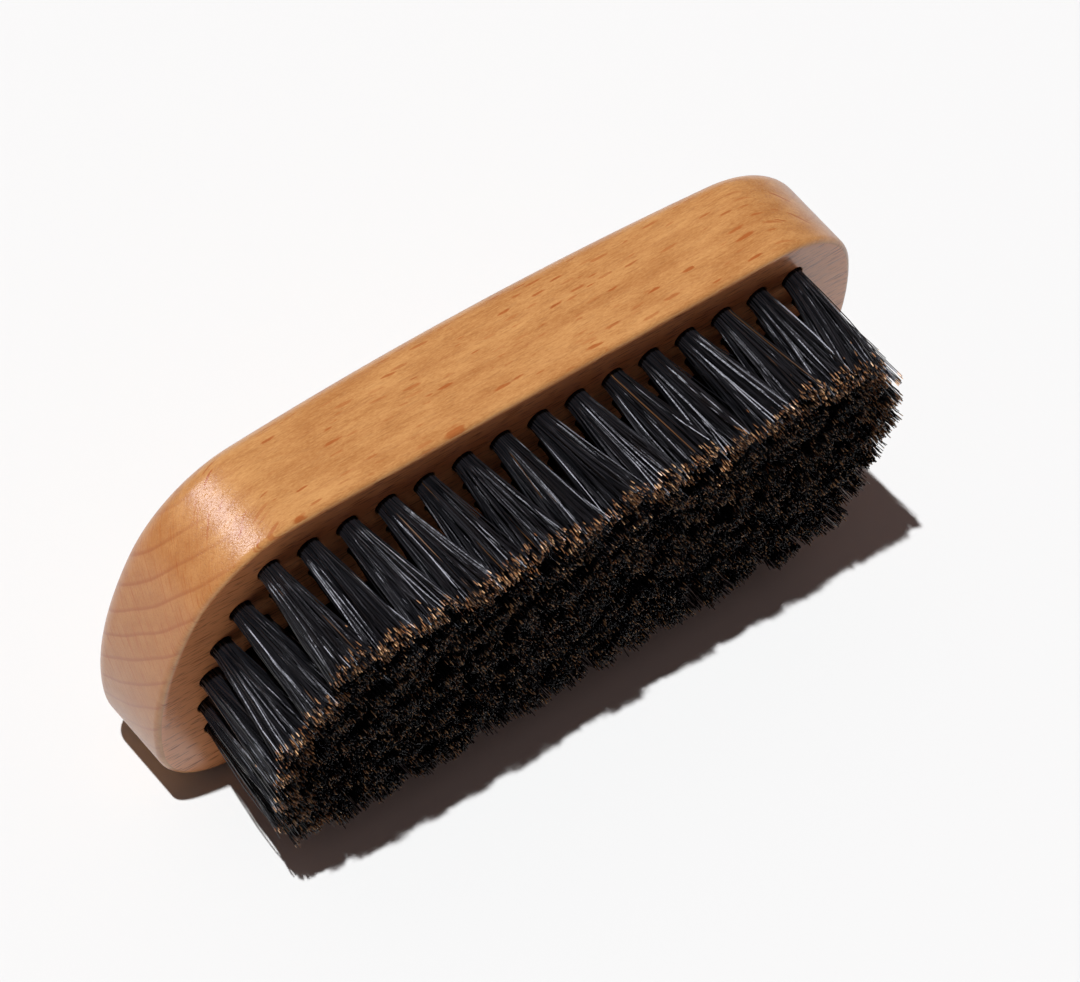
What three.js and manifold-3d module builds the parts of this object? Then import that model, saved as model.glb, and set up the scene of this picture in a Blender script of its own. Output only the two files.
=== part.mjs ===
// A palm beard brush: a one-piece wooden block drilled with rows of blind holes, and a tuft of
// bristle in each hole. Millimetres. The brush lies on one long side: X runs along it, Y runs
// through it from the bristle tips to the back of the block, Z is up, and z = 0 is what it lies
// on. The origin is halfway along the brush and halfway through it.
import * as THREE from 'three';
import { mergeVertices } from 'three/addons/utils/BufferGeometryUtils.js';
import Module from 'manifold-3d';

const wasm = await Module();
wasm.setup();

// The block's plan: two straight sides, two shallow round ends, and a tangent arc at each corner.
const LENGTH = 111.2;
const WIDTH = 49.3;
const END_RADIUS = 45;
const CORNER_RADIUS = 15.8;

// The block's thickness at its back edge, which arches along its length, and its roundings.
const MIDDLE_THICKNESS = 15.6;
const END_THICKNESS = 13.2;
const CROWN = 1.2;
const BACK_FILLET = 2.75;
const FACE_FILLET = 0.9;

// The drilling: parallel rows of holes, from the top row to the bottom row.
const TUFTS_PER_ROW = [15, 16, 17, 17, 17, 16, 15];
const SIDE_MARGIN = 6.85;
const END_MARGIN = 7.6;
const OUTER_ROW_SHORTER = 5.9;
const HOLE_DIAMETER = 3.2;
const HOLE_DEPTH = 8;
const DRILL_POINT = 0.9;

// The tufts: thin where they enter the block, spreading towards their tips.
const BRISTLE_LENGTH = 17;
const TUFT_CLEARANCE = 0.3;
const TIP_GAP = 0.35;
const TIP_OVERLAP = 0.3;

// How finely the round shapes are faceted.
const END_STEPS = 3;
const CORNER_STEPS = 7;
const SIDE_STEPS = 6;
const FACE_FILLET_STEPS = 2;
const BACK_FILLET_STEPS = 4;
const CROWN_STEPS = 3;
const HOLE_SIDES = 8;

const QUARTER_TURN = Math.PI / 2;
const rowCount = TUFTS_PER_ROW.length;
const rowSpacing = (WIDTH - 2 * SIDE_MARGIN) / (rowCount - 1);

const beech = new THREE.MeshStandardMaterial({ color: 0xc2834e, roughness: 0.35, metalness: 0 });
const bristle = new THREE.MeshStandardMaterial({ color: 0x1c1614, roughness: 0.5, metalness: 0 });

/** The bristle face to the back edge at x: a parabola that is highest halfway along. */
function edgeThickness(x) {
  const fall = MIDDLE_THICKNESS - END_THICKNESS;
  return MIDDLE_THICKNESS - fall * (x / (LENGTH / 2)) ** 2;
}

/** A quarter of the plan outline moved in by inset: from the +X end to the middle of the side. */
function quarterPlan(inset) {
  const endCentre = LENGTH / 2 - END_RADIUS;
  const cornerZ = WIDTH / 2 - CORNER_RADIUS;
  const cornerX = endCentre + Math.sqrt((END_RADIUS - CORNER_RADIUS) ** 2 - cornerZ ** 2);
  const turn = Math.atan2(cornerZ, cornerX - endCentre);
  const endArc = END_RADIUS - inset;
  const cornerArc = CORNER_RADIUS - inset;
  const sideZ = WIDTH / 2 - inset;
  const end = new THREE.EllipseCurve(endCentre, 0, endArc, endArc, 0, turn);
  const corner = new THREE.EllipseCurve(
    cornerX, cornerZ, cornerArc, cornerArc, turn, QUARTER_TURN);
  const side = new THREE.LineCurve(
    new THREE.Vector2(cornerX, sideZ), new THREE.Vector2(0, sideZ));
  return [
    ...end.getPoints(END_STEPS).slice(0, -1),
    ...corner.getPoints(CORNER_STEPS).slice(0, -1),
    ...side.getPoints(SIDE_STEPS),
  ];
}

/** The whole plan outline moved in by inset, as points whose y is the brush's z. */
function plan(inset) {
  const quarter = quarterPlan(inset);
  const otherEnd = quarter.slice(0, -1).reverse().map((p) => new THREE.Vector2(-p.x, p.y));
  const upper = [...quarter, ...otherEnd];
  const lower = upper.slice(1, -1).reverse().map((p) => new THREE.Vector2(p.x, -p.y));
  return [...upper, ...lower];
}

/** A closed skin over rings of equal size, ordered along +Y, with a point beyond each end. */
function skin(rings, firstPoint, lastPoint) {
  const size = rings[0].length;
  const points = [firstPoint, ...rings.flat(), lastPoint];
  const faces = [];
  for (let i = 0; i < size; i += 1) {
    const next = (i + 1) % size;
    faces.push(0, 1 + i, 1 + next);
    for (let k = 1; k < rings.length; k += 1) {
      const here = 1 + (k - 1) * size;
      const after = here + size;
      faces.push(here + i, after + i, after + next, here + i, after + next, here + next);
    }
    const last = 1 + (rings.length - 1) * size;
    faces.push(last + i, points.length - 1, last + next);
  }
  const geometry = new THREE.BufferGeometry().setFromPoints(points);
  geometry.setIndex(faces);
  return geometry;
}

/** A three.js geometry as a manifold solid. */
function solid(geometry) {
  const bare = geometry.clone();
  bare.deleteAttribute('normal');
  bare.deleteAttribute('uv');
  const merged = mergeVertices(bare);
  return new wasm.Manifold(new wasm.Mesh({
    numProp: 3,
    vertProperties: new Float32Array(merged.attributes.position.array),
    triVerts: new Uint32Array(merged.index.array),
  }));
}

/** A manifold solid as a three.js geometry. */
function geometryOf(manifold) {
  const mesh = manifold.getMesh();
  const geometry = new THREE.BufferGeometry();
  geometry.setAttribute('position', new THREE.BufferAttribute(mesh.vertProperties, 3));
  geometry.setIndex(new THREE.BufferAttribute(mesh.triVerts, 1));
  return geometry;
}

/** The undrilled block: its flat face is at y = 0 and its crowned back faces +Y. */
function blank() {
  const rings = [];
  for (let k = 0; k <= FACE_FILLET_STEPS; k += 1) {
    const angle = QUARTER_TURN * (k / FACE_FILLET_STEPS);
    const inset = FACE_FILLET * (1 - Math.sin(angle));
    const y = FACE_FILLET * (1 - Math.cos(angle));
    rings.push(plan(inset).map((p) => new THREE.Vector3(p.x, y, p.y)));
  }
  for (let k = 0; k <= BACK_FILLET_STEPS; k += 1) {
    const angle = QUARTER_TURN * (k / BACK_FILLET_STEPS);
    const inset = BACK_FILLET * (1 - Math.cos(angle));
    const below = BACK_FILLET * (1 - Math.sin(angle));
    rings.push(plan(inset).map((p) => new THREE.Vector3(p.x, edgeThickness(p.x) - below, p.y)));
  }
  const back = plan(BACK_FILLET);
  for (let k = CROWN_STEPS - 1; k > 0; k -= 1) {
    const share = k / CROWN_STEPS;
    const rise = CROWN * (1 - share ** 2);
    rings.push(back.map((p) => new THREE.Vector3(
      p.x * share, edgeThickness(p.x * share) + rise, p.y * share)));
  }
  const faceMiddle = new THREE.Vector3(0, 0, 0);
  const backMiddle = new THREE.Vector3(0, MIDDLE_THICKNESS + CROWN, 0);
  return skin(rings, faceMiddle, backMiddle);
}

/** Where each tuft stands on the face: its row, its place in the row, and its centre. */
function tuftPlaces() {
  const outermost = WIDTH / 2 - SIDE_MARGIN;
  return TUFTS_PER_ROW.map((count, row) => {
    const z = outermost - row * rowSpacing;
    const halfRow = LENGTH / 2 - END_MARGIN - OUTER_ROW_SHORTER * (z / outermost) ** 2;
    const pitch = 2 * halfRow / (count - 1);
    return Array.from({ length: count }, (_, place) => ({ x: place * pitch - halfRow, z, pitch }));
  });
}

/** The drill that cuts one blind hole: a cylinder with a pointed end, from outside the face. */
function drill(place) {
  const radius = HOLE_DIAMETER / 2;
  const profile = [
    new THREE.Vector2(0, -FACE_FILLET),
    new THREE.Vector2(radius, -FACE_FILLET),
    new THREE.Vector2(radius, HOLE_DEPTH),
    new THREE.Vector2(0, HOLE_DEPTH + DRILL_POINT),
  ];
  const tool = new THREE.LatheGeometry(profile, HOLE_SIDES, Math.PI / HOLE_SIDES);
  return tool.translate(place.x, 0, place.z);
}

/** The drilled block. */
function block(rows) {
  let body = solid(blank());
  for (const row of rows) {
    for (const place of row) {
      body = body.subtract(solid(drill(place)));
    }
  }
  return geometryOf(body);
}

/** One tuft: round in its hole, and spreading to a tip that reaches halfX and halfZ each way. */
function tuft(place, halfX, halfZ) {
  const rootRadius = HOLE_DIAMETER / 2 - TUFT_CLEARANCE;
  const flat = Math.cos(Math.PI / HOLE_SIDES);
  const ring = (y, radiusX, radiusZ) => Array.from({ length: HOLE_SIDES }, (_, i) => {
    const angle = (2 * i + 1) * Math.PI / HOLE_SIDES;
    const x = place.x + radiusX * Math.cos(angle);
    return new THREE.Vector3(x, y, place.z + radiusZ * Math.sin(angle));
  });
  const top = HOLE_DEPTH - TUFT_CLEARANCE;
  const rings = [
    ring(-BRISTLE_LENGTH, halfX / flat, halfZ / flat),
    ring(0, rootRadius, rootRadius),
    ring(top, rootRadius, rootRadius),
  ];
  const tip = new THREE.Vector3(place.x, -BRISTLE_LENGTH, place.z);
  const root = new THREE.Vector3(place.x, top, place.z);
  return skin(rings, tip, root);
}

/** Half a tuft's reach across the rows at its tip, the same for every tuft. */
const tipHalfZ = (rowSpacing - TIP_GAP) / 2;

/** Half a tuft's reach along its row at its tip, where it merges with the tufts beside it. */
const mergedHalfX = (pitch) => (pitch + TIP_OVERLAP) / 2;

/** The tufts of a row between its two end tufts, which run into each other at their tips. */
function innerTufts(row) {
  const inner = row.slice(1, -1);
  const solids = inner.map((place) => solid(tuft(place, mergedHalfX(place.pitch), tipHalfZ)));
  return geometryOf(solids.reduce((joined, next) => joined.add(next)));
}

/** A named mesh. */
function piece(name, geometry, material) {
  const mesh = new THREE.Mesh(geometry, material);
  mesh.name = name;
  return mesh;
}

/** The meshes of an outer row, whose tufts all stand apart. */
function outerRow(row, rowName) {
  return row.map((place, i) => {
    const number = String(i + 1).padStart(2, '0');
    const halfX = (place.pitch - TIP_GAP) / 2;
    return piece(`${rowName}_tuft_${number}`, tuft(place, halfX, tipHalfZ), bristle);
  });
}

/** The meshes of an inner row: its left end tuft, the merged tufts between, its right end tuft. */
function innerRow(row, rowName) {
  const { pitch } = row[0];
  const endHalfX = pitch - TIP_GAP - mergedHalfX(pitch);
  return [
    piece(`${rowName}_left_tuft`, tuft(row[0], endHalfX, tipHalfZ), bristle),
    piece(`${rowName}_inner_tufts`, innerTufts(row), bristle),
    piece(`${rowName}_right_tuft`, tuft(row.at(-1), endHalfX, tipHalfZ), bristle),
  ];
}

const rows = tuftPlaces();
const brush = new THREE.Group();
brush.add(piece('block', block(rows), beech));
rows.forEach((row, i) => {
  if (i === 0) {
    brush.add(...outerRow(row, 'top_row'));
  } else if (i === rowCount - 1) {
    brush.add(...outerRow(row, 'bottom_row'));
  } else {
    brush.add(...innerRow(row, `row_${i + 1}`));
  }
});

// The block's flat face moves to its place between the tips and the back, and the lower long
// side comes down to z = 0.
const throughBrush = BRISTLE_LENGTH + MIDDLE_THICKNESS + CROWN;
brush.position.set(0, BRISTLE_LENGTH - throughBrush / 2, WIDTH / 2);

export default brush;
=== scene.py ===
"""A palm beard brush in lacquered beech and boar bristle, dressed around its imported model.

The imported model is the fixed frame: its block gives the length, the width, the height of the
bristle face and the middle of the brush. Shapes here are worked out in brush millimetres, and
BrushFrame carries them into the row frame:

    x runs along the brush, y goes into the block from its bristle face (so the tips lie at
    negative y), and z goes across the rows of tufts, up, from the middle row.

The brush is one rigid body. Its pieces are the beech block, a hundred and thirteen tufts of
bristle, the folded wire anchor under each tuft, and the loose bristles that stray between them.
"""

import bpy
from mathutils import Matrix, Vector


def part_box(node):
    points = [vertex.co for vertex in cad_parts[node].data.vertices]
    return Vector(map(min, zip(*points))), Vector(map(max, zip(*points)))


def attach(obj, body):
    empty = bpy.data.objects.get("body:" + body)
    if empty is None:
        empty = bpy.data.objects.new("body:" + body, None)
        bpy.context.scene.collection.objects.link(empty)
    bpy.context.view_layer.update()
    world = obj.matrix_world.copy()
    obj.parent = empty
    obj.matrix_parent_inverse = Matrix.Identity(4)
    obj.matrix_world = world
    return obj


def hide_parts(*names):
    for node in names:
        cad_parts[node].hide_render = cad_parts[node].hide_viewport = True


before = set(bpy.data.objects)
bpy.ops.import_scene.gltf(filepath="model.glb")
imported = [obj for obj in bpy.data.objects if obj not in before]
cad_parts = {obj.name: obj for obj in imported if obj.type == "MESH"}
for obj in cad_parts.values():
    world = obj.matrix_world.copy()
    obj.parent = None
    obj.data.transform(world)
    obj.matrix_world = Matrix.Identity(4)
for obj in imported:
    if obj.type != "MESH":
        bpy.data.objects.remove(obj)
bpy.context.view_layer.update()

import logging
from dataclasses import dataclass
from enum import Enum
from typing import Any, Callable

import bpy
import numpy as np
from mathutils import Matrix, Vector
from mathutils.geometry import delaunay_2d_cdt

log = logging.getLogger("beard_brush")
MM = 0.001
BODY = "root"
SEED = 20
BAKE_MAP = "OFBake"
Socket = bpy.types.NodeSocket
Pair = tuple[float, float]
Triple = tuple[float, float, float]
Color = tuple[float, float, float, float]

# Where a Mix node that mixes colours takes its share and its two colours, and gives the result.
COLOR_MIX_INPUTS = (0, 6, 7)
COLOR_MIX_OUTPUT = 2


def opaque(red: float, green: float, blue: float) -> Color:
    """A linear colour with full alpha."""
    return (red, green, blue, 1.0)


class Slot(Enum):
    """The record's material slots, which name the brush's three finishes."""

    BEECH = "lacquered_beech"
    BRISTLE = "boar_bristle"
    WIRE = "anchor_wire"


class Kind(Enum):
    """The kinds of tuft, by how golden its tips are, which is painted light: more gold where
    the key light catches the tips on the rim, and less where the lower rows lie in shade.
    """

    RIM = 0
    INNER = 1
    LOW = 2


# ---------------------------------------------------------------- places and sizes


@dataclass(frozen=True)
class BrushFrame:
    """Where the brush's own millimetres lie in the row frame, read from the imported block."""

    length: float
    width: float
    face_y: float
    middle_z: float
    bristle_length: float

    @classmethod
    def read(cls) -> "BrushFrame":
        """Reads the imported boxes.

        Returns:
            The frame, with its sizes in millimetres and its two offsets in metres.
        """
        low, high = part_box("block")
        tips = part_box("row_4_inner_tufts")[0].y
        return cls(
            length=(high.x - low.x) / MM,
            width=(high.z - low.z) / MM,
            face_y=low.y,
            middle_z=(low.z + high.z) / 2,
            bristle_length=(low.y - tips) / MM,
        )

    def place(self, points: np.ndarray) -> np.ndarray:
        """Carries brush millimetres into the row frame: scale to metres, then shift.

        Args:
            points: An array of x, y, z rows in brush millimetres.

        Returns:
            The same rows in metres in the row frame.
        """
        return points * MM + np.array((0.0, self.face_y, self.middle_z))


@dataclass(frozen=True)
class TuftPlace:
    """One drilled hole and the tuft in it."""

    name: str
    node: str
    x: float
    z: float
    lean_x: float
    lean_z: float
    kind: Kind


@dataclass(frozen=True)
class TuftField:
    """The drilling: parallel rows of holes, each shorter towards the two long sides."""

    counts: tuple[int, ...] = (15, 16, 17, 17, 17, 16, 15)
    side_margin: float = 6.85
    end_margin: float = 7.6
    outer_row_shorter: float = 5.9
    hole_radius: float = 1.6
    hole_depth: float = 8.0
    drill_point: float = 0.9
    corner_lean: float = 2.6
    corner_power: int = 8
    lower_lean: float = 1.1
    lower_power: int = 5
    # From this row down the tips get painted shade: fewer golden tips.
    first_low_row: int = 4

    def node_of(self, row: int, number: int) -> str:
        """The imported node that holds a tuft: its own, or its row's joined inner tufts.

        Args:
            row: The tuft's row, from 0 at the top.
            number: Its number in the row, from 1 at the left.

        Returns:
            The node's name.
        """
        last_row = len(self.counts) - 1
        if row in (0, last_row):
            side = "top" if row == 0 else "bottom"
            return f"{side}_row_tuft_{number:02d}"
        ends = {1: "left_tuft", self.counts[row]: "right_tuft"}
        return f"row_{row + 1}_{ends.get(number, 'inner_tufts')}"

    def kind_of(self, row: int, number: int) -> Kind:
        """A tuft's kind: the rim is the top row, the left end and the upper right end. The
        kinds carry painted light: the rim is where the key light catches the tips, and the
        lower rows get painted shade.

        Args:
            row: The tuft's row, from 0 at the top.
            number: Its number in the row, from 1 at the left.

        Returns:
            The kind.
        """
        # Painted light: the lit rim gets the most golden tips, and the shaded lower rows the
        # fewest.
        upper = row < self.first_low_row
        if row == 0 or number == 1 or (upper and number == self.counts[row]):
            return Kind.RIM
        return Kind.INNER if upper else Kind.LOW

    def places(self, brush: BrushFrame) -> list[TuftPlace]:
        """Works out every tuft's place.

        A row's half length is the block's half length, less the end margin, less a share
        that grows with the square of the row's distance from the middle row. The tips of
        the upper right corner lean inwards, and those of the lowest row lean up, each by a
        high power of the distance from the middle.

        Args:
            brush: The brush's frame.

        Returns:
            The places, row by row from the top, and left to right in each row.
        """
        outermost = brush.width / 2 - self.side_margin
        row_levels = np.linspace(outermost, -outermost, len(self.counts))
        found = []
        for row, (count, z) in enumerate(zip(self.counts, row_levels)):
            share = z / outermost
            half = brush.length / 2 - self.end_margin - self.outer_row_shorter * share**2
            stations = np.linspace(-half, half, count)
            for number, x in enumerate(stations, start=1):
                to_right = max(x / half, 0.0) ** self.corner_power
                found.append(TuftPlace(
                    name=f"tuft_row_{row + 1}_{number:02d}",
                    node=self.node_of(row, number),
                    x=float(x),
                    z=float(z),
                    lean_x=-self.corner_lean * float(to_right * max(share, 0.0)),
                    lean_z=self.lower_lean * float(max(-share, 0.0)) ** self.lower_power,
                    kind=self.kind_of(row, number),
                ))
        return found


def hole_centres(places: list[TuftPlace]) -> np.ndarray:
    """The middles of the holes' mouths, as rows of x, y, z."""
    return np.array([(place.x, 0.0, place.z) for place in places])


# ---------------------------------------------------------------- meshes


def round_angles(count: int) -> np.ndarray:
    """Angles at equal steps round a full turn, in radians."""
    return np.arange(count) * 2 * np.pi / count


def quads_between(rings: int, size: int, outward: bool = True) -> np.ndarray:
    """The quads of a skin over closed rings, whose points are numbered ring by ring.

    Point i of ring k has the number k times size plus i. Each quad joins points i and i + 1,
    round the ring, to the same two points of the next ring.

    Args:
        rings: How many rings there are.
        size: How many points each ring has.
        outward: Whether the faces look away from the rings' middle.

    Returns:
        An array with one row of four point numbers for each quad.
    """
    first = (np.arange(rings - 1)[:, None] * size + np.arange(size)).ravel()
    second = (np.arange(rings - 1)[:, None] * size + (np.arange(size) + 1) % size).ravel()
    quads = np.stack([first, first + size, second + size, second], axis=1)
    return quads if outward else quads[:, ::-1]


def copied(faces: np.ndarray, count: int, step: int) -> np.ndarray:
    """The faces of count copies of a shape, whose points are numbered step apart."""
    first = np.arange(count)[:, None, None] * step
    return (first + faces[None]).reshape(-1, faces.shape[1])


def fan(ring: np.ndarray, apex: int, towards_back: bool) -> np.ndarray:
    """Triangles from a ring of point numbers to one apex.

    Args:
        ring: The ring's point numbers, anticlockwise as seen from the bristle side.
        apex: The apex's point number.
        towards_back: Whether the faces look towards the back of the block.

    Returns:
        An array with one row of three point numbers for each triangle.
    """
    following = np.roll(ring, -1)
    apexes = np.full(len(ring), apex)
    order = (ring, apexes, following) if towards_back else (ring, following, apexes)
    return np.stack(order, axis=1)


def new_mesh(name: str, points: np.ndarray, faces: list[np.ndarray],
             smooth: bool = True) -> bpy.types.Mesh:
    """Makes a mesh from whole arrays.

    Args:
        name: The mesh's name.
        points: The vertices' rows of x, y, z in metres.
        faces: Arrays of faces; each array's faces have its own number of corners.
        smooth: Whether its faces are shaded as one rounded surface.

    Returns:
        The mesh.
    """
    corners = np.concatenate([group.ravel() for group in faces]).astype(np.int32)
    sizes = np.concatenate([np.full(len(group), group.shape[1]) for group in faces])
    starts = np.concatenate([[0], np.cumsum(sizes)[:-1]]).astype(np.int32)
    mesh = bpy.data.meshes.new(name)
    mesh.vertices.add(len(points))
    mesh.vertices.foreach_set("co", points.astype(np.float32).ravel())
    mesh.loops.add(len(corners))
    mesh.loops.foreach_set("vertex_index", corners)
    mesh.polygons.add(len(sizes))
    mesh.polygons.foreach_set("loop_start", starts)
    mesh.polygons.foreach_set("use_smooth", np.full(len(sizes), smooth))
    mesh.update(calc_edges=True)
    mesh.validate()
    return mesh


def new_piece(name: str, mesh: bpy.types.Mesh, material: bpy.types.Material,
              nodes: tuple[str, ...] = ()) -> bpy.types.Object:
    """Puts a mesh into the scene as one piece of the brush.

    Args:
        name: The piece's name.
        mesh: Its mesh, already in the row frame.
        material: Its finish.
        nodes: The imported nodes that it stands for.

    Returns:
        The new object, riding on the brush's one body.
    """
    mesh.materials.append(material)
    piece = bpy.data.objects.new(name, mesh)
    bpy.context.scene.collection.objects.link(piece)
    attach(piece, BODY)
    if nodes:
        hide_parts(*nodes)
    return piece


# ---------------------------------------------------------------- finishes


class Graph:
    """A material's node tree, with short calls for the nodes that the finishes use."""

    def __init__(self, name: str) -> None:
        """Starts a material that is only a Principled shader on its output.

        Args:
            name: The material's name.
        """
        self.material = bpy.data.materials.new(name)
        self.material.use_nodes = True
        self.nodes = self.material.node_tree.nodes
        self.nodes.clear()
        self.shader = self.node("ShaderNodeBsdfPrincipled")
        output = self.node("ShaderNodeOutputMaterial")
        self.link(self.shader.outputs["BSDF"], output.inputs["Surface"])

    def node(self, kind: str, *values: Any, **settings: Any) -> bpy.types.Node:
        """Adds a node.

        Args:
            kind: The node's type.
            *values: What its first inputs get, in order.
            **settings: Its own properties.

        Returns:
            The node.
        """
        made = self.nodes.new(kind)
        for key, value in settings.items():
            setattr(made, key, value)
        for target, value in zip(made.inputs, values):
            self.feed(target, value)
        return made

    def link(self, source: Socket, target: Socket) -> None:
        """Links an output to an input."""
        self.material.node_tree.links.new(source, target)

    def feed(self, target: Socket, value: Any) -> None:
        """Sets an input.

        Args:
            target: The input.
            value: A socket to link to it, or a number or a tuple to set it to.
        """
        if isinstance(value, bpy.types.NodeSocket):
            self.link(value, target)
        else:
            target.default_value = value

    def object_mm(self) -> Socket:
        """The surface's own place in the row frame, in millimetres."""
        place = self.node("ShaderNodeTexCoord").outputs["Object"]
        return self.scaled(place, (1 / MM, 1 / MM, 1 / MM))

    def vector(self, operation: str, *values: Any) -> Socket:
        """One step of vector arithmetic."""
        made = self.node("ShaderNodeVectorMath", *values, operation=operation)
        return made.outputs["Value" if operation == "LENGTH" else "Vector"]

    def scaled(self, vector: Socket, factors: Triple) -> Socket:
        """A vector times a factor on each axis."""
        return self.vector("MULTIPLY", vector, factors)

    def math(self, operation: str, *values: Any) -> Socket:
        """One step of arithmetic on numbers."""
        return self.node("ShaderNodeMath", *values, operation=operation).outputs["Value"]

    def times(self, one: Any, other: Any) -> Socket:
        """The product of two numbers."""
        return self.math("MULTIPLY", one, other)

    def line(self, value: Any, gain: Any, start: Any) -> Socket:
        """A number times a gain, plus a start."""
        return self.math("MULTIPLY_ADD", value, gain, start)

    def split(self, vector: Socket) -> tuple[Socket, Socket, Socket]:
        """A vector's three parts."""
        made = self.node("ShaderNodeSeparateXYZ", vector)
        return made.outputs[0], made.outputs[1], made.outputs[2]

    def join(self, x: Any, y: Any, z: Any) -> Socket:
        """A vector from three numbers."""
        return self.node("ShaderNodeCombineXYZ", x, y, z).outputs[0]

    def noise(self, vector: Socket, grain: Triple, detail: float = 2.0,
              roughness: float = 0.5) -> Socket:
        """Smooth noise from 0 to 1.

        Args:
            vector: Where the noise is read.
            grain: What the vector is multiplied by: the larger, the finer the noise.
            detail: How many finer layers it has.
            roughness: How strong the finer layers are.

        Returns:
            The noise.
        """
        made = self.node("ShaderNodeTexNoise", self.scaled(vector, grain),
                         noise_dimensions="3D")
        made.inputs["Scale"].default_value = 1.0
        made.inputs["Detail"].default_value = detail
        made.inputs["Roughness"].default_value = roughness
        return made.outputs["Fac"]

    def rise(self, value: Any, span: Pair, ends: Pair = (0.0, 1.0)) -> Socket:
        """A smooth step over a span of a value, from the first of two ends to the second."""
        made = self.node("ShaderNodeMapRange", value, *span, *ends,
                         interpolation_type="SMOOTHSTEP")
        return made.outputs["Result"]

    def fall(self, value: Any, span: Pair) -> Socket:
        """A smooth step over a span of a value, from 1 down to 0."""
        return self.rise(value, span, (1.0, 0.0))

    def within(self, value: Any, least_and_spread: Pair) -> Socket:
        """The least, plus the spread times a value from 0 to 1."""
        least, spread = least_and_spread
        return self.line(value, spread, least)

    def mix(self, share: Any, first: Any, second: Any) -> Socket:
        """Mixes two colours: all the first at share 0, and all the second at share 1."""
        made = self.node("ShaderNodeMix", data_type="RGBA")
        for number, value in zip(COLOR_MIX_INPUTS, (share, first, second)):
            self.feed(made.inputs[number], value)
        return made.outputs[COLOR_MIX_OUTPUT]

    def bump(self, height: Socket, distance: float, strength: float) -> None:
        """Bumps the surface and its coat.

        Args:
            height: The bumps' height, from 0 to 1.
            distance: What a height of 1 is, in metres.
            strength: How much of the bumps shows.
        """
        made = self.node("ShaderNodeBump")
        self.link(height, made.inputs["Height"])
        made.inputs["Distance"].default_value = distance
        made.inputs["Strength"].default_value = strength
        self.link(made.outputs["Normal"], self.shader.inputs["Normal"])
        self.link(made.outputs["Normal"], self.shader.inputs["Coat Normal"])

    def dress(self, **sockets: Any) -> None:
        """Sets the shader's own sockets; an underscore in a key stands for a space."""
        for key, value in sockets.items():
            self.feed(self.shader.inputs[key.replace("_", " ")], value)


@dataclass(frozen=True)
class CutWood:
    """What the layers of the beech read at a point of the surface.

    The wood's coordinates are along the brush, round the pith and out from the pith. On an
    end wall on_end is 1, and on the bristle face on_face is 1.
    """

    graph: Graph
    wood: Socket
    out: Socket
    on_end: Socket
    on_face: Socket


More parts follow.
